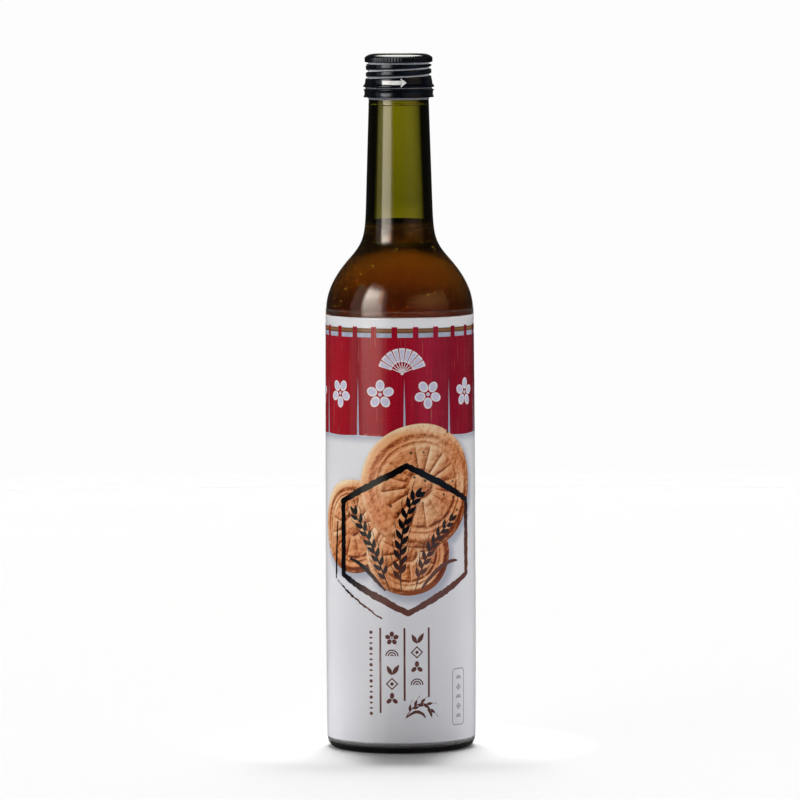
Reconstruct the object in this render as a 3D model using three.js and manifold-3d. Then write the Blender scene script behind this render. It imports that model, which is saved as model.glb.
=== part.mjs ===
// A filled liqueur bottle of about half a litre: a slim green glass bottle with its drink,
// a black roll-on aluminium screw cap with a tamper band, and a printed shrink sleeve.
// Millimetres, +Z up. The bottle stands on z = 0 with its axis on the Z axis.

import * as THREE from 'three';
import { mergeVertices } from 'three/addons/utils/BufferGeometryUtils.js';
import Module from 'manifold-3d';

// ---------------------------------------------------------------- driving dimensions

const SEGMENTS = 36;            // flats round every turned piece

// Glass: outside of the body
const WAIST_R = 31.65;          // widest radius of the slightly bowed body
const WAIST_Z = 66;
const SHOULDER_R = 31.25;       // where the shoulder leaves the body
const SHOULDER_Z = 187;
const HEEL_TOP_R = 31.4;        // where the heel curve leaves the body
const HEEL_TOP_Z = 5;
const STAND_R = 27.8;           // outer edge of the flat ring that it stands on
const STAND_WIDTH = 3.4;
const PUSH_UP = 3.2;            // height of the shallow hollow under the base

// Glass: outside of the shoulder and neck
const INFLECTION_R = 20.83;     // where the shoulder turns from convex to concave
const INFLECTION_Z = 209.1;
const INFLECTION_ANGLE = THREE.MathUtils.degToRad(41.5);
const SHOULDER_HANDLES = [9.6, 6.2, 9.1, 13.7];
const NECK_FOOT_R = 14.12;
const NECK_FOOT_Z = 232.8;
const NECK_TOP_R = 12.78;
const NECK_TOP_Z = 275.4;

// Glass: mouth inside the cap
const FINISH_R = 12.0;
const FINISH_FOOT_Z = 284.4;
const MOUTH_Z = 293.7;
const LIP_ROUND = 0.8;

// Glass: inside
const BODY_WALL = 2.8;
const NECK_WALL = 3.5;
const FLOOR_Z = 8.0;            // top of the glass over the base, at the axis
const FLOOR_EDGE_R = 24.0;
const FLOOR_EDGE_Z = 6.2;

// Drink
const LEVEL_Z = 226.2;
const DRINK_GAP = 0.3;

// Shrink sleeve
const SLEEVE_TOP_Z = 187.4;
const SLEEVE_GAP = 0.1;
const SLEEVE_SKIN = 0.28;
const SLEEVE_HEM_ANGLE = THREE.MathUtils.degToRad(50);   // how far it curls in under the heel

// Screw cap: top
const CAP_TOP_Z = 295.5;
const CAP_PANEL_R = 10.4;       // recessed disc in the top
const CAP_PANEL_DEPTH = 0.3;
const CAP_EDGE_R = 14.35;       // side below the rounded top edge
const CAP_EDGE_ROUND = 1.7;
const KNURL_COUNT = 72;
const KNURL_HEIGHT = 0.3;
const KNURL_VALLEY = 0.1;       // how far the valleys sink into the side
const KNURL_TOP_Z = CAP_TOP_Z - CAP_EDGE_ROUND;
const KNURL_FOOT_Z = 292.0;
const RING_GROOVE_R = 13.2;     // plain groove under the knurls
const RING_GROOVE_Z = [291.25, 291.6];

// Screw cap: rolled thread
const THREAD_R = 13.95;
const THREAD_TOP_Z = 291.0;
const THREAD_FOOT_Z = 285.0;
const THREAD_ROWS = 12;
const THREAD_PITCH = 2.95;
const THREAD_CENTRE_Z = 288.85; // height of the rolled groove at the front
const THREAD_DEPTH = 0.85;
const THREAD_HALF_WIDTH = 0.75;
const THREAD_FADE = 0.5;        // height over which the groove fades out at top and bottom

// Screw cap: skirt and tamper band, as radius and height above the cap's foot
const CAP_FOOT_Z = 276.1;
const TAMPER_BAND = [[14.2, 0.3], [14.85, 0.9], [14.85, 1.3], [14.6, 1.9], [14.5, 3.6], [14.8, 4.1]];
const SLIT_GROOVE = [[14.15, 4.6], [14.15, 5.1]];
const BEAD = [[14.95, 5.4], [14.95, 6.1], [14.35, 6.6]];
const SKIRT_TOP = [14.15, 8.8];
const BRIDGE_COUNT = 8;
const BRIDGE_ANGLE = THREE.MathUtils.degToRad(5);
const SLIT_Z = CAP_FOOT_Z + 4.65;
const SLIT_HEIGHT = 0.35;

// Screw cap: inside
const CAP_INNER_R = 12.4;       // bore in the thread zone
const BAND_INNER_R = 13.25;     // bore of the tamper band
const BORE_STEP_Z = [284.2, 285.3];
const CAP_SEAT_Z = MOUTH_Z + 0.3;

// ---------------------------------------------------------------- helpers

const wasm = await Module();
wasm.setup();

const point = (r, z) => new THREE.Vector2(r, z);

function arc(centreR, centreZ, radius, startAngle, endAngle, steps) {
  const points = [];
  for (let i = 0; i <= steps; i += 1) {
    const angle = THREE.MathUtils.lerp(startAngle, endAngle, i / steps);
    points.push(point(centreR + radius * Math.cos(angle), centreZ + radius * Math.sin(angle)));
  }
  return points;
}

// Turns an outline of (radius, height) points, given anticlockwise, about the Z axis.
function turned(outline) {
  const geometry = new THREE.LatheGeometry(outline, SEGMENTS);
  geometry.rotateX(Math.PI / 2);
  return geometry;
}

function toSolid(geometry) {
  const bare = geometry.clone();
  bare.deleteAttribute('normal');
  bare.deleteAttribute('uv');
  const merged = mergeVertices(bare, 1e-4);
  return new wasm.Manifold(new wasm.Mesh({
    numProp: 3,
    vertProperties: new Float32Array(merged.attributes.position.array),
    triVerts: new Uint32Array(merged.index.array),
  }));
}

function toGeometry(solid) {
  const mesh = solid.getMesh();
  const geometry = new THREE.BufferGeometry();
  geometry.setAttribute('position', new THREE.BufferAttribute(mesh.vertProperties, 3));
  geometry.setIndex(new THREE.BufferAttribute(mesh.triVerts, 1));
  geometry.computeVertexNormals();
  return geometry;
}

function named(name, geometry, look) {
  const mesh = new THREE.Mesh(geometry, new THREE.MeshStandardMaterial(look));
  mesh.name = name;
  return mesh;
}

// ---------------------------------------------------------------- the bottle's outlines

// Outer radius of the glass between heel and shoulder: two half parabolas that meet at the waist.
function bodyRadius(z) {
  const above = z > WAIST_Z;
  const endR = above ? SHOULDER_R : HEEL_TOP_R;
  const endZ = above ? SHOULDER_Z : HEEL_TOP_Z;
  const part = (z - WAIST_Z) / (endZ - WAIST_Z);
  return THREE.MathUtils.lerp(WAIST_R, endR, part * part);
}

function heelOutline(steps) {
  const width = HEEL_TOP_R - STAND_R;
  return arc(0, 0, 1, -Math.PI / 2, 0, steps)
    .map((p) => point(STAND_R + width * p.x, HEEL_TOP_Z * (1 + p.y)));
}

function bodyOutline(fromZ, toZ, steps) {
  const points = [];
  for (let i = 0; i <= steps; i += 1) {
    const z = THREE.MathUtils.lerp(fromZ, toZ, i / steps);
    points.push(point(bodyRadius(z), z));
  }
  return points;
}

function shoulderOutline(steps) {
  const [leave, arrive, depart, land] = SHOULDER_HANDLES;
  const slope = point(-Math.sin(INFLECTION_ANGLE), Math.cos(INFLECTION_ANGLE));
  const taper = point(NECK_TOP_R - NECK_FOOT_R, NECK_TOP_Z - NECK_FOOT_Z).normalize();
  const start = point(SHOULDER_R, SHOULDER_Z);
  const middle = point(INFLECTION_R, INFLECTION_Z);
  const end = point(NECK_FOOT_R, NECK_FOOT_Z);
  const convex = new THREE.CubicBezierCurve(
    start,
    point(SHOULDER_R, SHOULDER_Z + leave),
    middle.clone().addScaledVector(slope, -arrive),
    middle,
  );
  const concave = new THREE.CubicBezierCurve(
    middle,
    middle.clone().addScaledVector(slope, depart),
    end.clone().addScaledVector(taper, -land),
    end,
  );
  return [...convex.getPoints(steps), ...concave.getPoints(steps).slice(1)];
}

// The outside of the glass from the standing ring up to the top of the neck.
function glassOutside() {
  return [
    ...heelOutline(3),
    ...bodyOutline(HEEL_TOP_Z, SHOULDER_Z, 3).slice(1),
    ...shoulderOutline(5).slice(1),
    point(NECK_TOP_R, NECK_TOP_Z),
  ];
}

// Moves each point of an outline along the outline's own normal, to the left of its direction
// for a positive distance. distanceAt gives the distance at each point.
function offsetOutline(outline, distanceAt) {
  return outline.map((p, i) => {
    const before = outline[Math.max(i - 1, 0)];
    const after = outline[Math.min(i + 1, outline.length - 1)];
    const along = after.clone().sub(before).normalize();
    const distance = distanceAt(p);
    return point(p.x - along.y * distance, p.y + along.x * distance);
  });
}

function wallAt(p) {
  const part = THREE.MathUtils.smoothstep(p.y, SHOULDER_Z, NECK_FOOT_Z);
  return THREE.MathUtils.lerp(BODY_WALL, NECK_WALL, part);
}

// The inside of the glass from the floor at the axis up to the top of the neck.
function glassInside() {
  const wall = offsetOutline(glassOutside(), wallAt).filter((p) => p.y > FLOOR_EDGE_Z + 4);
  const first = wall[0];
  const corner = new THREE.QuadraticBezierCurve(
    point(FLOOR_EDGE_R, FLOOR_EDGE_Z),
    point(first.x, FLOOR_EDGE_Z),
    point(first.x, FLOOR_EDGE_Z + 5),
  );
  return [point(0, FLOOR_Z), ...corner.getPoints(4), ...wall];
}

// ---------------------------------------------------------------- the four pieces

function glassBottle() {
  const mouthR = glassInside().at(-1).x;
  const outside = [
    point(0, PUSH_UP),
    point(STAND_R - STAND_WIDTH - 3, PUSH_UP * 0.8),
    point(STAND_R - STAND_WIDTH, 0),
    ...glassOutside(),
    point(FINISH_R, FINISH_FOOT_Z),
    ...arc(FINISH_R - LIP_ROUND, MOUTH_Z - LIP_ROUND, LIP_ROUND, 0, Math.PI / 2, 2),
  ];
  const inside = [
    point(mouthR + LIP_ROUND, MOUTH_Z),
    point(mouthR, MOUTH_Z - LIP_ROUND),
    ...glassInside().reverse(),
  ];
  return named('glass_bottle', turned([...outside, ...inside]), {
    color: 0x565b10,
    roughness: 0.05,
    metalness: 0,
  });
}

function liqueur() {
  const wall = offsetOutline(glassInside(), () => DRINK_GAP);
  const below = wall.filter((p) => p.y < LEVEL_Z);
  const above = wall[below.length];
  const last = below.at(-1);
  const part = (LEVEL_Z - last.y) / (above.y - last.y);
  const surfaceR = THREE.MathUtils.lerp(last.x, above.x, part);
  below[0].x = 0;
  return named('liqueur', turned([...below, point(surfaceR, LEVEL_Z), point(0, LEVEL_Z)]), {
    color: 0x55300a,
    roughness: 0.1,
    metalness: 0,
  });
}

function shrinkSleeve() {
  const hem = heelOutline(6).filter((p) => p.x > STAND_R
    + (HEEL_TOP_R - STAND_R) * Math.cos(SLEEVE_HEM_ANGLE));
  const glass = [
    ...hem,
    ...bodyOutline(HEEL_TOP_Z, SHOULDER_Z, 3).slice(1),
    point(SHOULDER_R, SLEEVE_TOP_Z),
  ];
  const outer = offsetOutline(glass, () => -(SLEEVE_GAP + SLEEVE_SKIN));
  const inner = offsetOutline(glass, () => -SLEEVE_GAP);
  const outline = [...outer, ...inner.reverse(), outer[0].clone()];
  return named('shrink_sleeve', turned(outline), {
    color: 0xd8d6dc,
    roughness: 0.3,
    metalness: 0,
  });
}

// The rolled thread: one helical groove of a little over two turns that fades out at both ends.
function threadDepth(angle, z) {
  let depth = 0;
  for (const turn of [-1, 0, 1]) {
    const centre = THREAD_CENTRE_Z + THREAD_PITCH * (angle / (2 * Math.PI) + turn);
    const across = Math.abs(z - centre) / THREAD_HALF_WIDTH;
    const bowl = across < 1 ? 0.5 + 0.5 * Math.cos(Math.PI * across) : 0;
    depth = Math.max(depth, THREAD_DEPTH * bowl);
  }
  const inside = Math.min(THREAD_TOP_Z - z, z - THREAD_FOOT_Z);
  return depth * THREE.MathUtils.smoothstep(inside, 0, THREAD_FADE);
}

function rollThread(geometry) {
  const positions = geometry.attributes.position;
  for (let i = 0; i < positions.count; i += 1) {
    const x = positions.getX(i);
    const y = positions.getY(i);
    const z = positions.getZ(i);
    const r = Math.hypot(x, y);
    const onOutside = r > CAP_INNER_R + 1;
    if (onOutside && z < THREAD_TOP_Z && z > THREAD_FOOT_Z) {
      const frontAngle = Math.atan2(x, -y);
      const scale = (r - threadDepth(frontAngle, z)) / r;
      positions.setXYZ(i, x * scale, y * scale, z);
    }
  }
}

function capOutline() {
  const panelZ = CAP_TOP_Z - CAP_PANEL_DEPTH;
  const skirt = [...TAMPER_BAND, ...SLIT_GROOVE, ...BEAD, SKIRT_TOP]
    .map(([r, height]) => point(r, CAP_FOOT_Z + height));
  const thread = [];
  for (let i = 0; i <= THREAD_ROWS; i += 1) {
    thread.push(point(THREAD_R, THREE.MathUtils.lerp(THREAD_FOOT_Z, THREAD_TOP_Z, i / THREAD_ROWS)));
  }
  const edge = arc(
    CAP_EDGE_R - CAP_EDGE_ROUND,
    CAP_TOP_Z - CAP_EDGE_ROUND,
    CAP_EDGE_ROUND,
    0,
    Math.PI / 2,
    4,
  );
  return [
    point(BAND_INNER_R, CAP_FOOT_Z),
    ...skirt,
    ...thread,
    ...RING_GROOVE_Z.map((z) => point(RING_GROOVE_R, z)),
    point(CAP_EDGE_R, KNURL_FOOT_Z),
    ...edge,
    point(CAP_PANEL_R + CAP_PANEL_DEPTH, CAP_TOP_Z),
    point(CAP_PANEL_R, panelZ),
    point(0, panelZ),
    point(0, CAP_SEAT_Z),
    point(CAP_INNER_R, CAP_SEAT_Z),
    point(CAP_INNER_R, BORE_STEP_Z[1]),
    point(BAND_INNER_R, BORE_STEP_Z[0]),
    point(BAND_INNER_R, CAP_FOOT_Z),
  ];
}

function knurlRing() {
  const shape = new THREE.Shape();
  for (let i = 0; i < 2 * KNURL_COUNT; i += 1) {
    const angle = (i * Math.PI) / KNURL_COUNT;
    const r = CAP_EDGE_R + (i % 2 === 0 ? KNURL_HEIGHT : -KNURL_VALLEY);
    const corner = [r * Math.cos(angle), r * Math.sin(angle)];
    if (i === 0) shape.moveTo(...corner);
    else shape.lineTo(...corner);
  }
  shape.closePath();
  shape.holes.push(new THREE.Path().absarc(0, 0, CAP_EDGE_R - 0.6, 0, 2 * Math.PI, true));
  const ring = new THREE.ExtrudeGeometry(shape, {
    depth: KNURL_TOP_Z - KNURL_FOOT_Z,
    bevelEnabled: false,
    curveSegments: SEGMENTS / 2,
  });
  return ring.translate(0, 0, KNURL_FOOT_Z);
}

// One cut between two of the bridges that hold the tamper band to the cap.
function bridgeSlit(index) {
  const pitch = (2 * Math.PI) / BRIDGE_COUNT;
  const start = index * pitch + BRIDGE_ANGLE / 2;
  const end = (index + 1) * pitch - BRIDGE_ANGLE / 2;
  const shape = new THREE.Shape();
  shape.absarc(0, 0, CAP_EDGE_R + 1.5, start, end, false);
  shape.absarc(0, 0, BAND_INNER_R - 1, end, start, true);
  shape.closePath();
  const slit = new THREE.ExtrudeGeometry(shape, {
    depth: SLIT_HEIGHT,
    bevelEnabled: false,
    curveSegments: 3,
  });
  return slit.translate(0, 0, SLIT_Z);
}

function screwCap() {
  const shell = turned(capOutline());
  rollThread(shell);
  let solid = toSolid(shell).add(toSolid(knurlRing()));
  for (let i = 0; i < BRIDGE_COUNT; i += 1) {
    solid = solid.subtract(toSolid(bridgeSlit(i)));
  }
  return named('screw_cap', toGeometry(solid), {
    color: 0x0c0d12,
    roughness: 0.3,
    metalness: 0.6,
  });
}

// ---------------------------------------------------------------- the whole bottle

const bottle = new THREE.Group();
bottle.add(glassBottle(), liqueur(), shrinkSleeve(), screwCap());

export default bottle;
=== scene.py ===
"""A filled liqueur bottle: green glass, brown drink, black roll-on cap and a printed shrink sleeve.

Sizes are in millimetres, +Z up, and are turned into metres where a mesh is made. The bottle stands
on z = 0 with its axis on Z, and the front of its sleeve faces -Y.
A place on the sleeve is (u, z): u is the arc length from the middle of the front, + to the right.
"""

import math
import random

import bmesh
import bpy
import numpy as np
from mathutils import Matrix, Vector, noise


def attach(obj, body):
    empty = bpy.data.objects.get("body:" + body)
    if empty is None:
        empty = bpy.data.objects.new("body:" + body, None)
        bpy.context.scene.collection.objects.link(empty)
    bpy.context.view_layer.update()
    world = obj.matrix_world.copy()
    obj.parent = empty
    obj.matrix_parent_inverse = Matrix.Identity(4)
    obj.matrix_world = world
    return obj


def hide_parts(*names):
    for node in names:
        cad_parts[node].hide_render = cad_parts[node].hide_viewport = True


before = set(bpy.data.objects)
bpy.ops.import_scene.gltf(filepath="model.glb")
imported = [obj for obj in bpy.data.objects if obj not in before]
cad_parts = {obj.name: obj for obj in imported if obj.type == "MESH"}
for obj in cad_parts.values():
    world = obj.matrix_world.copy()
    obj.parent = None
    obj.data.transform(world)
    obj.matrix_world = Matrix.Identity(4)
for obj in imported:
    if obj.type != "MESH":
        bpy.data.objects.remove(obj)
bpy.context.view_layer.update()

MM = 0.001
TURN = 2 * math.pi

# ---------------------------------------------------------------- sizes shared with the CAD, mm

WAIST_R, WAIST_Z = 31.65, 66.0
SHOULDER_R, SHOULDER_Z = 31.25, 187.0
HEEL_TOP_R, HEEL_TOP_Z = 31.4, 5.0
STAND_R, STAND_WIDTH, PUSH_UP = 27.8, 3.4, 3.2
INFLECTION_R, INFLECTION_Z = 20.83, 209.1
INFLECTION_ANGLE = math.radians(41.5)
SHOULDER_HANDLES = (9.6, 6.2, 9.1, 13.7)
NECK_FOOT_R, NECK_FOOT_Z = 14.12, 232.8
NECK_TOP_R, NECK_TOP_Z = 12.78, 275.4
FINISH_R, FINISH_FOOT_Z, MOUTH_Z, LIP_ROUND = 12.0, 284.4, 293.7, 0.8
BODY_WALL, NECK_WALL = 2.8, 3.5
FLOOR_Z, FLOOR_EDGE_R, FLOOR_EDGE_Z = 8.0, 24.0, 6.2
LEVEL_Z = 226.2
SLEEVE_TOP_Z = 187.4
SLEEVE_HEM_ANGLE = math.radians(50)

CAP_TOP_Z, CAP_PANEL_R = 295.5, 10.4
CAP_EDGE_R = 14.35
KNURL_COUNT, KNURL_HEIGHT = 72, 0.17
KNURL_TOP_Z, KNURL_FOOT_Z = 293.8, 292.0
THREAD_R, THREAD_TOP_Z, THREAD_FOOT_Z = 13.95, 291.0, 285.0
THREAD_PITCH, THREAD_CENTRE_Z = 2.95, 288.85
CAP_FOOT_Z = 276.1
BRIDGE_COUNT = 8
SLIT_Z, SLIT_HEIGHT = 280.75, 0.35

# ---------------------------------------------------------------- camera and light

CAMERA_DISTANCE = 2.9
CAMERA_HEIGHT = 0.36
CAMERA_PITCH = math.radians(4.18)
CAMERA_ROLL = math.radians(-0.244)
LENS_MM = 307.17
SENSOR_MM = 36.0


# ================================================================ small helpers


def lerp(a, b, part):
    return a + (b - a) * part


def smoothstep(x, low, high):
    part = min(max((x - low) / (high - low), 0.0), 1.0)
    return part * part * (3 - 2 * part)


def bezier(points, steps):
    """Points along a Bezier curve of any degree, both ends included."""
    made = []
    for i in range(steps + 1):
        level = [Vector(p) for p in points]
        part = i / steps
        while len(level) > 1:
            level = [a.lerp(b, part) for a, b in zip(level, level[1:])]
        made.append(level[0])
    return made


def arc(centre, radius, start, end, steps):
    """Points of a circle's arc, angles in radians."""
    angles = [lerp(start, end, i / steps) for i in range(steps + 1)]
    return [Vector((centre[0] + radius * math.cos(a), centre[1] + radius * math.sin(a)))
            for a in angles]


def heading(angle):
    """The direction at an angle, of length 1."""
    return Vector((math.cos(angle), math.sin(angle)))


def around(r, angle, z):
    """The point r from the bottle's axis, at an angle from the front, + to the right."""
    return Vector((r * math.sin(angle), -r * math.cos(angle), z))


def uneven(x, y, seed):
    """Smooth noise of about -1 to 1."""
    return noise.noise(Vector((x, y, seed)))


def link(name, mesh, material):
    piece = bpy.data.objects.new(name, mesh)
    bpy.context.scene.collection.objects.link(piece)
    mesh.materials.append(material)
    return piece


def mesh_from(name, points_mm, faces):
    mesh = bpy.data.meshes.new(name)
    mesh.from_pydata([Vector(p) * MM for p in points_mm], [], faces)
    mesh.polygons.foreach_set("use_smooth", [True] * len(mesh.polygons))
    mesh.update()
    return mesh


def turned(name, outline, segments, radius_at=None):
    """Turns an outline of (r, z) about Z. An outline that starts and ends on the axis, or closes
    on itself, gives a closed mesh. radius_at(angle, r, z) may change each radius."""
    rings = []
    points = []
    for r, z in outline:
        if r < 1e-6:
            rings.append([len(points)])
            points.append((0, 0, z))
            continue
        rings.append(list(range(len(points), len(points) + segments)))
        for i in range(segments):
            angle = TURN * i / segments
            points.append(around(radius_at(angle, r, z) if radius_at else r, angle, z))
    closes = (Vector(outline[0]) - Vector(outline[-1])).length < 1e-6 and len(rings[0]) > 1
    if closes:
        points = points[:-segments]
        rings[-1] = rings[0]
    faces = []
    for low, high in zip(rings, rings[1:]):
        for i in range(segments):
            j = (i + 1) % segments
            if len(low) == 1 and len(high) == 1:
                continue
            if len(low) == 1:
                faces.append((low[0], high[j], high[i]))
            elif len(high) == 1:
                faces.append((low[i], low[j], high[0]))
            else:
                faces.append((low[i], low[j], high[j], high[i]))
    return mesh_from(name, points, faces)


# ================================================================ outlines of the bottle, (r, z)


def body_radius(z):
    end_r, end_z = (SHOULDER_R, SHOULDER_Z) if z > WAIST_Z else (HEEL_TOP_R, HEEL_TOP_Z)
    part = (z - WAIST_Z) / (end_z - WAIST_Z)
    return lerp(WAIST_R, end_r, part * part)


def heel_outline(steps):
    width = HEEL_TOP_R - STAND_R
    return [Vector((STAND_R + width * p.x, HEEL_TOP_Z * (1 + p.y)))
            for p in arc((0, 0), 1, -math.pi / 2, 0, steps)]


def body_outline(low_z, high_z, steps):
    heights = [lerp(low_z, high_z, i / steps) for i in range(steps + 1)]
    return [Vector((body_radius(z), z)) for z in heights]


def shoulder_outline(steps):
    leave, arrive, depart, land = SHOULDER_HANDLES
    slope = Vector((-math.sin(INFLECTION_ANGLE), math.cos(INFLECTION_ANGLE)))
    start = Vector((SHOULDER_R, SHOULDER_Z))
    middle = Vector((INFLECTION_R, INFLECTION_Z))
    end = Vector((NECK_FOOT_R, NECK_FOOT_Z))
    taper = (Vector((NECK_TOP_R, NECK_TOP_Z)) - end).normalized()
    convex = [start, start + Vector((0, leave)), middle - slope * arrive, middle]
    concave = [middle, middle + slope * depart, end - taper * land, end]
    return bezier(convex, steps) + bezier(concave, steps)[1:]


def glass_outside():
    """The outside of the glass from the standing ring up to the top of the neck."""
    neck = bezier([(NECK_FOOT_R, NECK_FOOT_Z), (NECK_TOP_R, NECK_TOP_Z)], 24)[1:]
    return (heel_outline(14) + body_outline(HEEL_TOP_Z, SHOULDER_Z, 40)[1:]
            + shoulder_outline(36)[1:] + neck)


def offset(outline, distance_at):
    """Moves an outline along its own normal, to the left of its direction if positive."""
    moved = []
    for i, p in enumerate(outline):
        along = (outline[min(i + 1, len(outline) - 1)] - outline[max(i - 1, 0)]).normalized()
        moved.append(p + Vector((-along.y, along.x)) * distance_at(p))
    return moved


def wall_at(p):
    return lerp(BODY_WALL, NECK_WALL, smoothstep(p.y, SHOULDER_Z, NECK_FOOT_Z))


def glass_inside(deeper=0.0):
    """The inside of the glass from the floor at the axis up to the top of the neck.
    deeper moves it that far into the glass."""
    wall = offset(glass_outside(), lambda p: wall_at(p) - deeper)
    wall = [p for p in wall if p.y > FLOOR_EDGE_Z + 5]
    side = wall[0].x
    floor_z = FLOOR_EDGE_Z - deeper
    corner = bezier([(FLOOR_EDGE_R, floor_z), (side, floor_z), (side, FLOOR_EDGE_Z + 5)], 10)
    dome = bezier([(0, FLOOR_Z - deeper), (FLOOR_EDGE_R * 0.6, FLOOR_Z - deeper),
                   (FLOOR_EDGE_R, floor_z)], 10)
    return dome + corner[1:] + wall[1:]


OUTSIDE = glass_outside()
OUTSIDE_Z = [p.y for p in OUTSIDE]
OUTSIDE_R = [p.x for p in OUTSIDE]


def glass_radius(z):
    return float(np.interp(z, OUTSIDE_Z, OUTSIDE_R))


# ================================================================ material helpers

BLACK, WHITE = (0.0,) * 3, (1.0,) * 3


def operation(name, swapped=False):
    """One of Python's operators as a Math node."""
    def apply(value, other=0.0):
        pair = (other, value) if swapped else (value, other)
        return value.nodes.math(name, *pair)
    return apply


class Value:
    """An output of a node. Numbers and outputs are put together with Python's operators."""

    def __init__(self, nodes, socket):
        self.nodes = nodes
        self.socket = socket

    __add__ = __radd__ = operation("ADD")
    __mul__ = __rmul__ = operation("MULTIPLY")
    __sub__ = operation("SUBTRACT")
    __rsub__ = operation("SUBTRACT", swapped=True)
    __truediv__ = operation("DIVIDE")
    __pow__ = operation("POWER")
    __gt__ = operation("GREATER_THAN")
    __lt__ = operation("LESS_THAN")
    __abs__ = operation("ABSOLUTE")


class Nodes:
    """Short calls that build one material's node tree."""

    def __init__(self, name):
        self.material = bpy.data.materials.new(name)
        self.start(self.material, "ShaderNodeOutputMaterial")

    def start(self, owner, output):
        owner.use_nodes = True
        self.tree = owner.node_tree
        self.tree.nodes.clear()
        self.output = self.tree.nodes.new(output)

    def node(self, kind, inputs=None, output=0, **settings):
        """Adds a node and gives one of its outputs."""
        node = self.tree.nodes.new("ShaderNode" + kind)
        for key, value in settings.items():
            setattr(node, key, value)
        for key, value in (inputs or {}).items():
            self.put(node.inputs[key], value)
        return Value(self, node.outputs[output])

    def put(self, socket, value):
        if isinstance(value, Value):
            self.tree.links.new(value.socket, socket)
        elif isinstance(value, tuple) and len(value) == 3 and socket.type == "RGBA":
            socket.default_value = (*value, 1.0)
        else:
            socket.default_value = value

    def math(self, name, *values):
        return self.node("Math", dict(enumerate(values)), operation=name)

    def mix(self, part, a, b, blend="MIX"):
        return self.node("Mix", {0: part, 6: a, 7: b}, 2, data_type="RGBA", blend_type=blend)

    def tinted(self, a, b):
        return self.mix(1.0, a, b, "MULTIPLY")

    def span(self, value, low, high, to_low=0.0, to_high=1.0, kind="LINEAR"):
        """Maps low to high onto to_low to to_high, and holds the ends."""
        return self.node("MapRange", {
            "Value": value, "From Min": low, "From Max": high,
            "To Min": to_low, "To Max": to_high}, interpolation_type=kind)

    def ease(self, value, low, high, to_low=0.0, to_high=1.0):
        """A span with soft ends."""
        return self.span(value, low, high, to_low, to_high, "SMOOTHSTEP")

    def window(self, value, low, high, soft):
        """1 between low and high, falling to 0 over soft on each side."""
        return self.ease(value, low - soft, low) * self.ease(value, high, high + soft, 1.0, 0.0)

    def ramp(self, value, stops):
        """A ramp through stops of (place, colour). A single number is a grey."""
        colours = self.node("ValToRGB", {"Fac": value})
        elements = colours.socket.node.color_ramp.elements
        while len(elements) < len(stops):
            elements.new(0.5)
        for element, (place, colour) in zip(elements, stops):
            element.position = place
            element.color = (*(colour if isinstance(colour, tuple) else (colour,) * 3), 1.0)
        return colours

    def position(self):
        return self.node("TexCoord", output="Object")

    def axes(self, vector):
        x = self.node("SeparateXYZ", {0: vector})
        return [Value(self, socket) for socket in x.socket.node.outputs]

    def place(self):
        """The x, y and z of a point of the piece, in mm."""
        return self.axes(self.node("VectorMath", {0: self.position(), "Scale": 1 / MM},
                                   operation="SCALE"))

    def ray(self, name):
        return self.node("LightPath", output=name)

    def noise(self, scale, detail=2.0, roughness=0.5, stretch=None):
        vector = self.position()
        if stretch:
            vector = self.node("Mapping", {"Vector": vector, "Scale": stretch})
        return self.node("TexNoise", {
            "Vector": vector, "Scale": scale, "Detail": detail, "Roughness": roughness}, "Fac")

    def bump(self, height, strength, distance):
        return self.node("Bump", {"Height": height, "Strength": strength, "Distance": distance})

    def blend(self, part, a, b):
        """Two shaders, with part of the second."""
        return self.node("MixShader", {0: part, 1: a, 2: b})

    def absorb(self, colour, density):
        self.put(self.output.inputs["Volume"],
                 self.node("VolumeAbsorption", {"Color": colour, "Density": density}))

    def surface(self, shader):
        self.put(self.output.inputs["Surface"], shader)
        return self.material


def srgb(r, g, b):
    """A display colour of 0 to 255 as linear light."""
    def linear(c):
        c /= 255
        return c / 12.92 if c <= 0.04045 else ((c + 0.055) / 1.055) ** 2.4
    return (linear(r), linear(g), linear(b))


# ================================================================ stage


def make_camera():
    data = bpy.data.cameras.new("camera")
    data.lens = LENS_MM
    data.sensor_width = SENSOR_MM
    data.sensor_fit = "HORIZONTAL"
    data.clip_start = 0.05
    camera = bpy.data.objects.new("camera", data)
    bpy.context.scene.collection.objects.link(camera)
    place = Matrix.Translation((0, -CAMERA_DISTANCE, CAMERA_HEIGHT))
    aim = Matrix.Rotation(math.radians(90) - CAMERA_PITCH, 4, "X")
    camera.matrix_world = place @ aim @ Matrix.Rotation(CAMERA_ROLL, 4, "Z")
    bpy.context.scene.camera = camera


FLOOR_TONE = (0.546, 0.549, 0.558)
FLOOR_PAINTED_BEHIND_GLASS = (0.76,) * 3
PAGE_WHITE = (0.98,) * 3
# Light that has been transmitted more often than this has crossed the drink.
DRINK_CROSSINGS = 4.5


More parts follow.
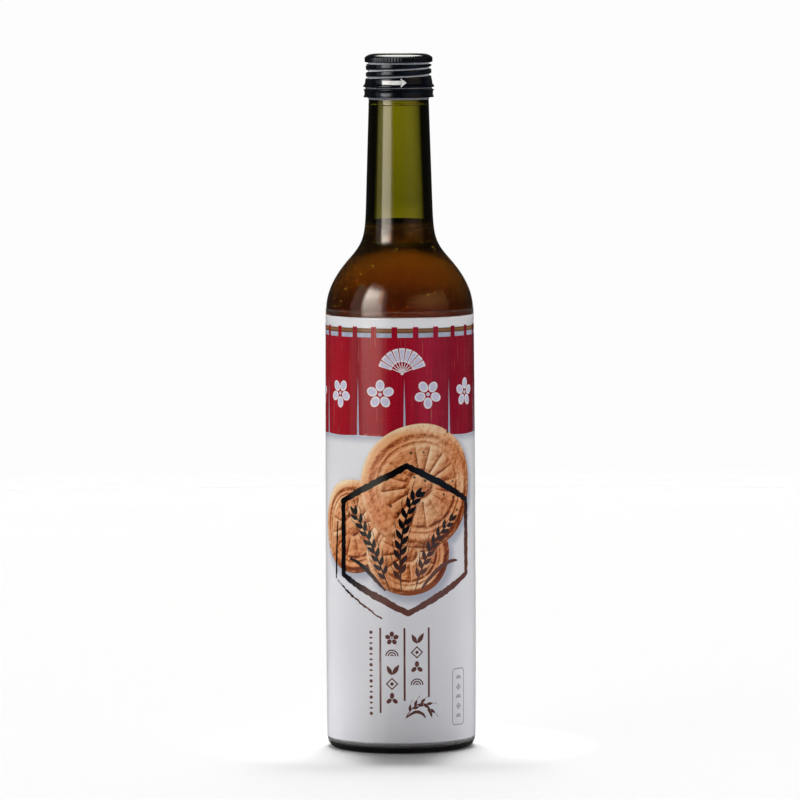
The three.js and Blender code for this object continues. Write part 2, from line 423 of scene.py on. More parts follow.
def make_floor():
    radius, clear_from, clear_to = 1.6, 1.0, 1.5
    mesh = bpy.data.meshes.new("floor")
    bm = bmesh.new()
    bmesh.ops.create_circle(bm, cap_ends=True, segments=96, radius=radius)
    bm.to_mesh(mesh)
    bm.free()
    n = Nodes("floor")
    x, y, _ = n.axes(n.position())
    reach = n.node("VectorMath", {0: n.position()}, "Value", operation="LENGTH")
    # Painted light and shade: close to the bottle the floor is painted a little lighter, and right in
    # front of its foot a painted shadow darkens it.
    painted_contact_shadow = n.ease(abs(x), 0.006, 0.027, 1.0, 0.0) * n.ease(reach, 0.057, 0.084, 0.48, 0.0)
    painted_light_near = n.ease(reach, 0.055, 0.09, 1.2, 0.925) * (1.0 - painted_contact_shadow * (y < 0.0))
    tone = n.tinted(FLOOR_TONE, painted_light_near)
    # Painted light and shade: seen through the bottle the floor is painted a little brighter, and far
    # down the floor, where the ray has crossed the cloudy drink, it is painted near black for the
    # light the drink takes away.
    crossed = n.ray("Transmission Depth")
    tone = n.mix(crossed > 0.5, tone, FLOOR_PAINTED_BEHIND_GLASS)
    painted_drink_shade = (crossed > DRINK_CROSSINGS) * n.span(reach, 0.3, 1.2)
    tone = n.mix(painted_drink_shade * 0.97, tone, BLACK)
    paint = n.node("BsdfPrincipled", {
        "Base Color": tone, "Roughness": 0.6, "Specular IOR Level": 0.1})
    fade = n.ease(reach, clear_from, clear_to)
    floor = link("floor", mesh, n.surface(n.blend(fade, paint, n.node("BsdfTransparent"))))
    floor.visible_glossy = False


class Sky(Nodes):
    """The world's nodes: studio light as a function of direction."""

    def __init__(self, name):
        world = bpy.data.worlds.new(name)
        bpy.context.scene.world = world
        self.start(world, "ShaderNodeOutputWorld")

    def degrees(self, name, *values):
        return self.math(name, *values) * (180 / math.pi)

    def surface(self, shader):
        self.put(self.output.inputs["Surface"], shader)


# How bright the lights are: first those that polished surfaces mirror, then those that fall on
# matt surfaces.
MIRROR_AMBIENT, MARGIN_LIGHT, BACKDROP_LIGHT, OVERHEAD_LIGHT = 0.03, 0.5, 0.16, 9.0
AMBIENT_FILL, REAR_FILL, LEFT_FILL, RIGHT_FILL, LAMP_FILL = 0.38, 2.5, 1.3, 0.5, 64.0
# The left softbox: brightness against elevation in degrees.
SOFTBOX_PROFILE = ((-20, 0.0), (-11, 0.5), (-4.2, 0.5), (-3.3, 0.8), (-2.4, 4.0), (0.7, 5.1),
                   (1.7, 5.6), (13, 7.9), (24, 11.3), (30, 14.2), (34, 12.6), (38, 7.7),
                   (41, 3.6), (44, 1.2), (48, 0.3), (50, 0.0))


def make_world():
    n = Sky("studio")
    x, y, z = n.axes(n.node("TexCoord", output="Generated"))
    backward = y * -1.0
    azimuth = n.degrees("ARCTAN2", x, backward)
    from_rear = abs(n.degrees("ARCTAN2", x, y))
    elevation = n.degrees("ARCSINE", z)
    over = n.degrees("ARCTAN2", z, backward)
    sideways = n.degrees("ARCSINE", x)

    # What polished surfaces mirror.
    low, high = SOFTBOX_PROFILE[0][0], SOFTBOX_PROFILE[-1][0]
    peak = max(level for _, level in SOFTBOX_PROFILE)
    profile = n.ramp(n.span(elevation, low, high), [
        ((angle - low) / (high - low), level / peak) for angle, level in SOFTBOX_PROFILE])
    core_width = n.window(azimuth, -57, -33, 9) * n.span(azimuth, -57, -30, 1.0, 0.66)
    core = profile * core_width * peak
    margin = n.window(azimuth, -83, -21, 1.5) * n.window(elevation, -14, 36, 6)
    right = n.ramp(n.span(azimuth, 10, 90), [
        (0.0, 0.0), (0.05, 0.25), (0.175, 0.5), (0.34, 0.85), (0.5, 1.0), (0.62, 0.8),
        (0.92, 0.52), (0.95, 0.0)]) * n.window(elevation, -14, 24, 14)
    backdrop = n.window(from_rear, -1, 8, 7) * n.window(elevation, -4, 8, 6)
    overhead = n.window(over, 94, 138, 5) * n.window(sideways, -15, 15, 4)
    light = (margin * MARGIN_LIGHT + MIRROR_AMBIENT + backdrop * BACKDROP_LIGHT
             + overhead * OVERHEAD_LIGHT)
    light = n.tinted((1.05, 0.99, 0.88), light)
    # Higher up the softbox turns warm towards its right edge, and so does all of the right panel.
    warm = n.ease(azimuth, -41, -31) * n.span(elevation, 10, 18)
    lit = n.mix(warm, (1.12, 0.99, 0.86), (0.85, 0.5, 0.33))
    light = n.mix(1.0, light, n.tinted(lit, core), "ADD")
    tint = n.mix(n.span(elevation, -3.3, -2.5), (0.24, 0.36, 0.5), (0.12, 0.125, 0.14))
    tint = n.mix(n.span(elevation, 0, 17), tint, (1.6, 0.79, 0.27))
    mirrored = n.mix(1.0, light, n.mix(right, BLACK, tint), "ADD")

    # What lights the matt surfaces: soft lamps at both sides, a bright rear, and a strip lamp
    # overhead, a little behind the bottle.
    height = n.window(elevation, 0, 40, 20)
    soft_left = n.window(azimuth, -78, -45, 30) * height
    soft_right = n.window(azimuth, 35, 80, 25) * height
    rear = n.ease(from_rear, 60, 115, 1.0, 0.0) * n.window(elevation, -91, 12, 20)
    lamp = n.span(over, 105, 118, 1.0, 0.0) ** 2.0 * n.ease(over, 100, 102.5)
    lamp = lamp * n.window(sideways, -9, 9, 4)
    fill = (rear * REAR_FILL + AMBIENT_FILL + soft_left * LEFT_FILL + soft_right * RIGHT_FILL
            + lamp * LAMP_FILL)

    # What is seen through the glass: a bright backdrop with dark flags on both sides.
    flags = n.ramp(n.span(from_rear, 0, 60), [
        (0.0, 1.0), (0.15, 0.95), (0.32, 0.66), (0.5, 0.28), (0.7, 0.03)])
    side = n.window(from_rear, 84, 104, 10) * 0.42
    front = n.ease(from_rear, 120, 150, 0.0, 0.5)
    through = (flags + side + front) * n.ease(elevation, -3.0, -1.6, 0.6, 1.12)
    # Light that has been mirrored inside the glass comes from the dark parts of the studio.
    straight = n.ray("Glossy Depth") < 0.5
    # Light that has crossed the cloudy drink as well has lost most of its strength.
    loss = (n.ray("Transmission Depth") > DRINK_CROSSINGS) * -0.86 + 1.0
    through = through * loss * straight + 0.012

    clear_ray = n.ray("Is Transmission Ray") * (1.0 - n.ray("Is Diffuse Ray"))
    seen = n.mix(n.ray("Is Glossy Ray"), fill, mirrored)
    seen = n.mix(clear_ray, seen, through)
    seen = n.mix(n.ray("Is Camera Ray"), seen, PAGE_WHITE)
    n.surface(n.node("Background", {"Color": seen}))


def set_view():
    scene = bpy.context.scene
    scene.view_settings.view_transform = "Standard"
    scene.cycles.max_bounces = 24
    scene.cycles.transmission_bounces = 20
    scene.cycles.glossy_bounces = 8
    scene.cycles.diffuse_bounces = 4
    scene.cycles.transparent_max_bounces = 12
    scene.cycles.caustics_reflective = False
    scene.cycles.caustics_refractive = True
    scene.cycles.use_denoising = True


# ================================================================ glass and drink

FLAT_Z, MENISCUS = 223.95, 1.35
# How far the drink reaches into the glass, so that no air gap shows.
DRINK_IN_GLASS = 0.15
BOTTLE_SEGMENTS = 192


def glass_material():
    n = Nodes("green_glass")
    # Painted shade: the specular tint dims the reflection at the right of the neck's foot.
    x, y, z = n.place()
    foot = n.span(z, 205, 212) * n.span(z, 218, 223.5, 0.75, 0.0) * n.span(x, 0, 2) * (y < 0.0)
    n.absorb((0.688, 0.672, 0.0), 900.0)
    return n.surface(n.node("BsdfPrincipled", {
        "Base Color": WHITE, "Roughness": 0.0, "IOR": 1.5,
        "Specular Tint": n.mix(foot, WHITE, BLACK), "Transmission Weight": 1.0}))


def make_glass():
    inside = glass_inside()
    mouth_r = inside[-1].x
    stand_in = STAND_R - STAND_WIDTH
    outside = [Vector((0, PUSH_UP)), Vector((stand_in - 3, PUSH_UP * 0.8)), Vector((stand_in, 0))]
    ring_z, ring_reach, ring_out, steps = 273.95, 0.28, 0.11, 4
    ring = []
    for i in range(-steps, steps + 1):
        z = ring_z + ring_reach * i / steps
        swell = ring_out * (0.5 + 0.5 * math.cos(math.pi * i / steps))
        ring.append(Vector((glass_radius(z) + swell, z)))
    outside += [p for p in OUTSIDE if p.y < ring_z - ring_reach] + ring
    outside += [p for p in OUTSIDE if p.y > ring_z + ring_reach]
    outside += [Vector((NECK_TOP_R - 0.02, NECK_TOP_Z + 0.9)), Vector((FINISH_R, FINISH_FOOT_Z))]
    outside += arc((FINISH_R - LIP_ROUND, MOUTH_Z - LIP_ROUND), LIP_ROUND, 0, math.pi / 2, 6)
    mouth = [Vector((mouth_r + LIP_ROUND, MOUTH_Z)), Vector((mouth_r, MOUTH_Z - LIP_ROUND))]
    mesh = turned("bottle_glass", outside + mouth + inside[::-1], BOTTLE_SEGMENTS)
    piece = link("bottle_glass", mesh, glass_material())
    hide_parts("glass_bottle")
    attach(piece, "root")


def drink_material():
    n = Nodes("drink")
    z = n.place()[2]
    rough = n.span(z, LEVEL_Z - 4.5, LEVEL_Z - 1.0, 0.28, 0.03)
    # Painted shade: the drink that climbs the wall is coloured near black, for the light it bends
    # away.
    climbed = n.span(z, FLAT_Z + 0.02, FLAT_Z + 0.12)
    # A ramp of painted shade darkens it at the foot of the neck as well.
    tone = n.ramp(n.span(z, 214.0, 222.5), [
        (0.0, 1.0), (0.1, 0.6), (0.25, (0.17, 0.1, 0.1)), (0.4, (0.16, 0.09, 0.09)),
        (0.55, (0.19, 0.11, 0.11)), (0.69, (0.3, 0.19, 0.19)), (0.84, (0.6, 0.5, 0.5)),
        (1.0, (0.85, 0.8, 0.8))])
    n.absorb((0.93, 0.56, 0.0), 80.0)
    return n.surface(n.node("BsdfPrincipled", {
        "Base Color": n.mix(climbed, tone, (0.01, 0.01, 0.012)), "Roughness": rough,
        "IOR": 1.365, "Transmission Weight": 1.0}))


def make_drink():
    wall = glass_inside(deeper=DRINK_IN_GLASS)
    top_z = FLAT_Z + MENISCUS
    below = [p for p in wall if p.y < top_z - 0.15]
    edge = below[-1]
    above = wall[len(below)]
    edge_r = lerp(edge.x, above.x, (top_z - edge.y) / (above.y - edge.y))
    reach, steps, steepness = 4.0, 14, 3.2
    meniscus = [Vector((edge_r - reach * i / steps, FLAT_Z + MENISCUS * (1 - i / steps) ** steepness))
                for i in range(steps)]
    outline = below + meniscus + [Vector((0, FLAT_Z))]
    piece = link("drink", turned("drink", outline, BOTTLE_SEGMENTS), drink_material())
    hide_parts("liqueur")
    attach(piece, "root")


def speck_material():
    """Pale grains, some lighter than others, with a painted glow: a faint emission stands in for the
    light that the cloudy drink scatters onto them."""
    n = Nodes("specks")
    cloud = n.noise(1500, 2)
    tone = n.ramp(cloud, [(0.35, (0.6, 0.34, 0.14)), (0.65, (0.95, 0.78, 0.5))])
    glow = n.ramp(cloud, [(0.42, (0.1, 0.06, 0.05)), (0.52, (0.22, 0.15, 0.13)),
                          (0.58, (0.45, 0.33, 0.3)), (0.64, (0.8, 0.6, 0.55))])
    return n.surface(n.node("BsdfPrincipled", {
        "Base Color": tone, "Roughness": 0.8, "Specular IOR Level": 0.1,
        "Emission Color": glow, "Emission Strength": 2.2}))


def make_specks():
    """Fine grains that float in the drink, most of them close to the wall of the shoulder."""
    draw = random.Random(11)
    low_z, high_z, count = 184.0, 222.0, 420
    least_depth, depth_range, least_size, size_range = 0.08, 1.6, 0.14, 0.26
    wall = [p for p in glass_inside() if p.y > 20]
    wall_z = [p.y for p in wall]
    wall_r = [p.x for p in wall]
    points = []
    faces = []
    ball = bmesh.new()
    bmesh.ops.create_icosphere(ball, subdivisions=1, radius=1.0)
    corners = [v.co.copy() for v in ball.verts]
    sides = [[v.index for v in f.verts] for f in ball.faces]
    ball.free()
    for _ in range(count):
        z = lerp(low_z, high_z, draw.random())
        depth = least_depth + depth_range * draw.random() ** 3
        r = float(np.interp(z, wall_z, wall_r)) - depth
        angle = TURN * draw.random()
        size = least_size + size_range * draw.random() ** 3
        first = len(points)
        points += [around(r, angle, z) + c * size for c in corners]
        faces += [[first + i for i in side] for side in sides]
    piece = link("drink_specks", mesh_from("drink_specks", points, faces), speck_material())
    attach(piece, "root")


# ================================================================ sleeve

FILM_IN, FILM_OUT, FILM_SEGMENTS = 0.1, 0.25, 256
# The part of the light that goes through the film and through its lining.
FILM_GLOW, LINING_GLOW = 0.28, 0.7
PRINT_TOP_Z, PRINT_FOOT_Z = 184.9, 4.7
RED_TOP_Z, RED_FOOT_Z = 176.6, 135.2
U_RADIUS = 31.9
# Each cake of the picture: name, u, z, radius, petals, height to width, lift, seed.
CAKES = (("cake_left", -21.5, 96.5, 20.5, 12, 0.97, 0.292, 1.3),
         ("cake_low", 3.5, 85.5, 18.5, 12, 0.98, 0.304, 4.1),
         ("cake_high", 9.0, 114.0, 26.5, 16, 0.99, 0.316, 2.6))


def front_u(n):
    """The place (u, z) of a point of the sleeve."""
    x, y, z = n.place()
    return n.math("ARCTAN2", x, y * -1.0) * U_RADIUS, z


def film_outline(low_z, high_z, away):
    heel = [p for p in heel_outline(20) if p.y >= low_z - 1e-6]
    top = [p for p in body_outline(HEEL_TOP_Z, SHOULDER_Z, 60)[1:] if p.y < high_z - 0.05]
    points = [Vector((glass_radius(low_z), low_z))]
    points += [p for p in heel + top if p.y > low_z + 0.05]
    points += [Vector((glass_radius(high_z), high_z))]
    return offset(points, lambda p: -away)


def film_shader(n, colour):
    """Glossy film over ink that lets a part of the light through."""
    ripple = n.noise(45, 2, stretch=(1.0, 1.0, 0.5))
    gloss = n.node("BsdfPrincipled", {
        "Base Color": colour, "Roughness": 0.13, "Specular IOR Level": 0.5,
        "Normal": n.bump(ripple, 0.12, 0.0002)})
    glow = n.node("BsdfTranslucent", {"Color": colour})
    return n.surface(n.blend(FILM_GLOW, gloss, glow))


def white_film_material():
    """The cool white ground of the print, with the soft printed shadows of the curtain's foot and of
    the cakes, and painted light and shade that make it darker towards its foot and, at the sides,
    greyer above and whiter below."""
    n = Nodes("printed_ground")
    u, z = front_u(n)
    # Painted shade: the ground's colour is darker towards its foot.
    shade = n.ramp(n.span(z, 0, 185), [
        (0.0, (0.74, 0.74, 0.77)), (0.12, (0.81, 0.81, 0.845)), (0.3, (0.84, 0.84, 0.875)),
        (1.0, (0.93, 0.93, 0.95))])
    cloud = n.span(n.noise(35, 3), 0.3, 0.7, 0.0, 0.5)
    colour = n.mix(cloud, shade, n.tinted(shade, (0.95, 0.96, 0.99)))
    dark = n.ease(z, RED_FOOT_Z - 4.4, RED_FOOT_Z) * (z < RED_FOOT_Z + 4)
    for _, cake_u, cake_z, radius, _, squash, _, _ in CAKES:
        across = u - (cake_u + 1.4)
        along = (z - (cake_z - 1.8)) / squash
        away = n.math("SQRT", across * across + along * along)
        dark = n.math("MAXIMUM", dark, n.ease(away, radius - 1, radius + 3.6, 1.0, 0.0))
    colour = n.mix(dark * 0.62, colour, srgb(150, 156, 178))
    # Painted light and shade: towards the sides the ground is painted greyer above and whiter below,
    # most of all at the left.
    out = abs(u)
    side = n.ease(out, 14, 44) * n.ease(out, 55, 80, 1.0, 0.0)
    left = n.span(u, -12, -24) * n.span(u, -60, -45) * n.span(z, 10, 45, 0.12, 0.0)
    return film_shader(n, n.tinted(colour, side * n.span(z, 50, 175, 0.2, -0.16) + 1.0 + left))


def film_shell(name, low_z, high_z, material, lining=None):
    """A closed shell of film. lining is the material of its inner side, if that differs."""
    out = film_outline(low_z, high_z, FILM_OUT)
    back = film_outline(low_z, high_z, FILM_IN)[::-1]
    piece = link(name, turned(name, out + back + [out[0].copy()], FILM_SEGMENTS), material)
    if lining:
        piece.data.materials.append(lining)
        middle = (FILM_IN + FILM_OUT) / 2
        for face in piece.data.polygons:
            reach = face.center.xy.length / MM - glass_radius(face.center.z / MM)
            face.material_index = int(reach < middle)
    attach(piece, "root")
    return piece


def clear_film_material():
    """Unprinted film: clear, with a pale cut edge at its top and a grey haze towards the print."""
    n = Nodes("clear_film")
    z = n.place()[2]
    halfway_z = 100.0
    cut_edge = n.span(z, SLEEVE_TOP_Z - 0.45, SLEEVE_TOP_Z - 0.25, 0.0, 0.035)
    seam = n.span(z, PRINT_TOP_Z + 0.5, PRINT_TOP_Z + 0.1, 0.0, 0.01)
    top = (n.math("MAXIMUM", cut_edge, seam) + 0.002) * (z > halfway_z)
    foot = n.ramp(n.span(z, 1.0, PRINT_FOOT_Z), [
        (0.0, 0.0), (0.25, 0.001), (0.5, 0.02), (1.0, 0.2)]) * (z < halfway_z)
    clear = n.node("BsdfTransparent", {"Color": (0.97, 0.97, 0.97)})
    haze = n.node("BsdfDiffuse", {"Color": (0.72, 0.70, 0.72)})
    gloss = n.node("BsdfGlossy", {"Color": WHITE, "Roughness": 0.12})
    shine = n.node("LayerWeight", {"Blend": 0.5}, "Facing") ** 4.0 * 0.5 + 0.015
    return n.surface(n.blend(shine, n.blend(top + foot, clear, haze), gloss))


def make_sleeve():
    n = Nodes("film_lining")
    matt = n.node("BsdfDiffuse", {"Color": (0.92, 0.78, 0.62)})
    # Painted light: the lining's translucent colour is above 1, so it passes on more light than
    # reaches it, and glows warm.
    glow = n.node("BsdfTranslucent", {"Color": (1.9, 0.95, 0.55)})
    lining = n.surface(n.blend(LINING_GLOW, matt, glow))
    ground = film_shell("sleeve_ground", PRINT_FOOT_Z, PRINT_TOP_Z, white_film_material(), lining)
    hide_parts("shrink_sleeve")
    clear = clear_film_material()
    film_shell("sleeve_clear_top", PRINT_TOP_Z, SLEEVE_TOP_Z, clear)
    hem_z = HEEL_TOP_Z * (1 - math.sin(SLEEVE_HEM_ANGLE))
    film_shell("sleeve_clear_hem", hem_z, PRINT_FOOT_Z, clear)


# ================================================================ print

SLIT_PITCH, FRONT_SLIT_U = 20.8, 1.84
SLIT_TOP_Z, SLIT_FOOT_WIDTH = 159.5, 1.07
LOOP_COUNT, FRONT_LOOP_U, LOOP_WIDTH = 22, -2.27, 2.5
LOOP_TOP_Z, ROD_TOP_Z, ROD_FOOT_Z = 181.1, 180.5, 178.5
FILM_ROUND = TURN * U_RADIUS
# Ten panels hang round the bottle: four wide ones in front and six narrower ones behind.
PANEL_COUNT = 10
REAR_PITCH = (FILM_ROUND - 4 * SLIT_PITCH) / (PANEL_COUNT - 4)
PANELS = range(-2, 8)
FAN_U, FAN_Z, FAN_R, FAN_LEAVES, FAN_SPREAD = 0.95, 161.6, 10.6, 9, math.radians(150)
BLOSSOM_Z, BLOSSOM_R = 152.6, 6.3
# How far each print stands outside the glass. The further out lie over the others.
GAP_LIFT, FOOT_LINE_LIFT, RULES_LIFT, CLOTH_LIFT = 0.262, 0.266, 0.27, 0.274
ROD_LIFT, CREST_LIFT, LOOP_LIFT, FIELD_LIFT, FRAME_LIFT = 0.286, 0.292, 0.298, 0.304, 0.345


def wrap(u, z, lift, radius_at=glass_radius, arc_radius=U_RADIUS):
    """The point of the sleeve at (u, z), lift outside the glass."""
    return around(radius_at(z) + lift, u / arc_radius, z)


def print_sheet(name, loops, lift, material, radius_at=glass_radius, arc_radius=U_RADIUS,
                steps=(1.2, 8.0)):
    """Ink on the film: flat outlines of (u, z), cut into pieces of at most steps in u and z and
    wrapped round."""
    points = []
    faces = []
    for loop in loops:
        bm = bmesh.new()
        bm.faces.new([bm.verts.new((u, 0, z)) for u, z in loop])
        bmesh.ops.triangulate(bm, faces=bm.faces[:])
        for axis, width in enumerate(steps):
            normal = (1 - axis, 0, axis)
            spots = [p[axis] for p in loop]
            cut = math.ceil(min(spots) / width) * width
            while cut < max(spots):
                geometry = bm.verts[:] + bm.edges[:] + bm.faces[:]
                place = [c * cut for c in normal]
                bmesh.ops.bisect_plane(bm, geom=geometry, plane_co=place, plane_no=normal)
                cut += width
        first = len(points)
        bm.verts.index_update()
        points += [wrap(v.co.x, v.co.z, lift, radius_at, arc_radius) for v in bm.verts]
        for face in bm.faces:
            corners = [v.index + first for v in face.verts]
            faces.append(corners if face.normal.y < 0 else corners[::-1])
        bm.free()
    piece = link(name, mesh_from(name, points, faces), material)
    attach(piece, "root")
    return piece


def ink(name, loops, lift, material):
    """A print on the sleeve."""
    piece = print_sheet(name, loops, lift, material)


def stroke(points, width, rough=0.0, seed=0.0, taper=False):
    """The outline of a pen stroke along points; rough makes its edges ragged."""
    left, right = [], []
    count = len(points)
    for i, p in enumerate(points):
        along = (points[min(i + 1, count - 1)] - points[max(i - 1, 0)]).normalized()
        side = Vector((-along.y, along.x))
        half = width / 2
        if taper:
            half *= 0.25 + 0.75 * math.sin(math.pi * (i + 0.5) / count) ** 0.6
        left.append(p + side * (half + rough * uneven(p.x * 0.8, p.y * 0.8, seed)))
        right.append(p - side * (half + rough * uneven(p.x * 0.8 + 40, p.y * 0.8, seed)))
    return left + right[::-1]


def ellipse(u, z, half_width, half_height, lean=0.0):
    made, steps = [], 28
    for i in range(steps):
        a = TURN * i / steps
        p = Vector((half_width * math.cos(a), half_height * math.sin(a)))
        p.rotate(Matrix.Rotation(lean, 2))
        made.append(p + Vector((u, z)))
    return made


def leaf(base, angle, length, width):
    """A pointed leaf from its base in the direction angle."""
    steps = 12
    along = heading(angle)
    side = Vector((-along.y, along.x))
    spine = [Vector(base) + along * length * i / steps for i in range(steps + 1)]
    swell = [side * (width / 2 * math.sin(math.pi * (i / steps) ** 0.8)) for i in range(steps + 1)]
    left = [p + s for p, s in zip(spine, swell)]
    right = [p - s for p, s in zip(spine, swell)][1:-1]
    return left + right[::-1]


def blossom(u, z, radius, turn=0.0, swell=1.0):
    """Round petals, each an outline of its own, round a small centre."""
    petals = 5
    long_part, wide_part, centre = radius * 0.38 * swell, radius * 0.31 * swell, radius * 0.12 * swell
    loops = []
    for k in range(petals):
        a = TURN * k / petals + math.pi / 2 + turn
        reach = heading(a) * (radius * 0.6)
        loops.append(ellipse(u + reach.x, z + reach.y, long_part, wide_part, a))
    return loops + [ellipse(u, z, centre, centre)]


def ear(points, grain, spacing, seed):
    """A drooping ear of rice: a thin stem with pointed grains on both sides and fine awns."""
    stem = bezier(points, 60)
    loops = [stroke(stem, grain * 0.16, 0.1, seed, taper=True)]
    walked, next_grain, sign = 0.0, spacing * 2.2, 1
    for a, b in zip(stem, stem[1:]):
        walked += (b - a).length
        if walked < next_grain:
            continue
        next_grain += spacing * (0.92 + 0.16 * uneven(walked, seed, 0))
        lean = math.atan2((b - a).y, (b - a).x) + sign * (0.52 + 0.12 * uneven(walked, seed, 5))
        foot = b + heading(lean) * grain * 0.12
        tip = foot + heading(lean) * grain
        hair = [tip, tip + heading(lean) * grain * 0.25,
                tip + heading(lean - sign * 0.35) * grain * 0.7]
        loops += [leaf(foot, lean, grain, grain * 0.4),
                  stroke(bezier(hair, 6), grain * 0.06, 0.0, seed, taper=True)]
        sign = -sign
    last = stem[-1] - stem[-2]
    return loops + [leaf(stem[-1], math.atan2(last.y, last.x), grain, grain * 0.4)]


def blade(points, width, seed):
    """A long grass leaf, drawn as one brush stroke that thins at both ends."""
    return stroke(bezier(points, 40), width, 0.22, seed, taper=True)


def arc_loop(u, z, inner, outer, start, end, steps=6):
    return arc((u, z), outer, start, end, steps) + arc((u, z), inner, end, start, steps)


def fan_leaves(inner, outer, gap):
    """The fan's paper leaves between two parts of its radius, with a gap on each side."""
    pitch = FAN_SPREAD / FAN_LEAVES
    starts = [math.pi / 2 - FAN_SPREAD / 2 + pitch * k for k in range(FAN_LEAVES)]
    return [arc_loop(FAN_U, FAN_Z, FAN_R * inner, FAN_R * outer, start + gap, start + pitch - gap)
            for start in starts]


def fan():
    """An open folding fan: paper leaves between gaps, sticks and a rivet."""
    loops = [ellipse(FAN_U, FAN_Z, 0.7, 0.7)]
    loops += fan_leaves(0.45, 1.0, math.radians(1.3))
    for k in range(FAN_LEAVES):
        along = heading(math.pi / 2 + FAN_SPREAD * ((k + 0.5) / FAN_LEAVES - 0.5))
        stick = [Vector((FAN_U, FAN_Z)) + along * r for r in (0.9, FAN_R * 0.43)]
        loops.append(stroke(stick, 0.34))
    return loops


# ---------------------------------------------------------------- the print's materials


def red_cloth_material():
    n = Nodes("printed_red")
    u, _ = front_u(n)
    # Painted light and shade: the red is lighter at the front and left and darker round the right
    # side.
    red = n.ramp(n.span(u, -100, 100), [
        (0.0, srgb(150, 12, 38)), (0.25, srgb(178, 22, 42)), (0.425, srgb(172, 12, 36)),
        (0.5, srgb(176, 10, 40)), (0.56, srgb(172, 6, 48)), (0.65, srgb(154, 8, 42)),
        (0.75, srgb(120, 8, 34)), (1.0, srgb(150, 12, 38))])
    # Panels are counted from the front slit; those at the back are a little narrower.
    away = u - FRONT_SLIT_U
    far = n.math("MAXIMUM", abs(away) - 2 * SLIT_PITCH, 0.0) * n.math("SIGN", away)
    panel = n.math("FRACT", far * (1 / REAR_PITCH - 1 / SLIT_PITCH) + away / SLIT_PITCH)
    fold = n.ramp(panel, [(0.0, 0.72), (0.1, 0.95), (0.5, 1.08), (0.85, 0.92), (1.0, 0.8)])
    red = n.mix(0.8, red, n.tinted(red, fold))
    grain = n.noise(1500, 3, stretch=(1.0, 1.0, 0.035))
    red = n.mix(n.span(grain, 0.42, 0.62, 0.0, 0.3), red, srgb(96, 4, 24))
    scratch = n.noise(2200, 2, stretch=(1.0, 1.0, 0.02))
    pale = n.span(scratch, 0.62, 0.7) * n.span(n.noise(90, 2), 0.45, 0.6)
    red = n.mix(pale * 0.55, red, srgb(205, 110, 95))
    weft = n.noise(1800, 2, stretch=(0.05, 0.05, 1.0))
    return film_shader(n, n.mix(n.span(weft, 0.5, 0.7, 0.0, 0.12), red, srgb(180, 60, 60)))


def plain_ink(name, colour, spread=0.12):
    """One ink with faint unevenness."""
    n = Nodes(name)
    lighter = tuple(min(1.0, c * (1 + spread) + 0.004) for c in colour)
    darker = tuple(c * (1 - spread) for c in colour)
    return film_shader(n, n.mix(n.span(n.noise(500, 3), 0.3, 0.7), darker, lighter))


def dark_ink_material():
    """Brush ink that turns from black at the top left to brown at the bottom right."""
    n = Nodes("printed_dark")
    u, z = front_u(n)
    dry = n.noise(700, 3, 0.6, stretch=(1.0, 1.0, 0.4))
    middle_z = 91.0
    lean = (dry - 0.5) * 9.0 + (u * 0.55 + (z - middle_z) * -0.85)
    return film_shader(n, n.ramp(n.span(lean, -6, 18), [
        (0.0, (0.0012, 0.0014, 0.003)), (0.4, srgb(30, 28, 34)), (0.75, srgb(84, 54, 50)),
        (1.0, srgb(110, 70, 62))]))


def rod_material():
    """The brown rod: round, so lighter along its middle, with faint knots."""
    n = Nodes("printed_rod")
    _, z = front_u(n)
    brown = n.ramp(n.span(z, ROD_FOOT_Z, ROD_TOP_Z), [
        (0.0, srgb(92, 58, 34)), (0.35, srgb(140, 94, 58)), (0.6, srgb(152, 106, 68)),
        (1.0, srgb(104, 68, 42))])
    knots = n.noise(260, 2, stretch=(1.0, 1.0, 0.1))
    return film_shader(n, n.mix(n.span(knots, 0.5, 0.75, 0.0, 0.35), brown, srgb(96, 58, 34)))


# ---------------------------------------------------------------- the door curtain


def slit_u(k):
    """The place of slit k; slits -2 to 2 are in front, 3 to 7 behind, and 8 is slit -2 again."""
    return FRONT_SLIT_U + SLIT_PITCH * min(k, 2) + REAR_PITCH * max(k - 2, 0)


def slit_top(k):
    place = k if k < 8 else k - PANEL_COUNT
    return SLIT_TOP_Z + 1.6 * uneven(place * 1.7, 3.1, 0)


def curtain_panel(left_k):
    """One hanging panel between two slits, its lower corners drawn back from them."""
    corners = []
    for k, wide in ((left_k, SLIT_FOOT_WIDTH / 2), (left_k + 1, -SLIT_FOOT_WIDTH / 2)):
        u, top = slit_u(k), slit_top(k)
        corners.append([Vector((u, RED_TOP_Z)), Vector((u, top)),
                        Vector((u + wide * 0.45, lerp(top, RED_FOOT_Z, 0.4))),
                        Vector((u + wide * 0.8, lerp(top, RED_FOOT_Z, 0.75))),
                        Vector((u + wide, RED_FOOT_Z))])
    left, right = corners[0][-1].x, corners[1][-1].x
    sag, steps = 0.35, 12
    foot = [Vector((lerp(left, right, i / steps), RED_FOOT_Z - sag * math.sin(math.pi * i / steps)))
            for i in range(1, steps)]
    return corners[0] + foot + corners[1][::-1]


def trapezium(u, low_z, low_half, high_z, high_half):
    return [Vector((u - low_half, low_z)), Vector((u + low_half, low_z)),
            Vector((u + high_half, high_z)), Vector((u - high_half, high_z))]


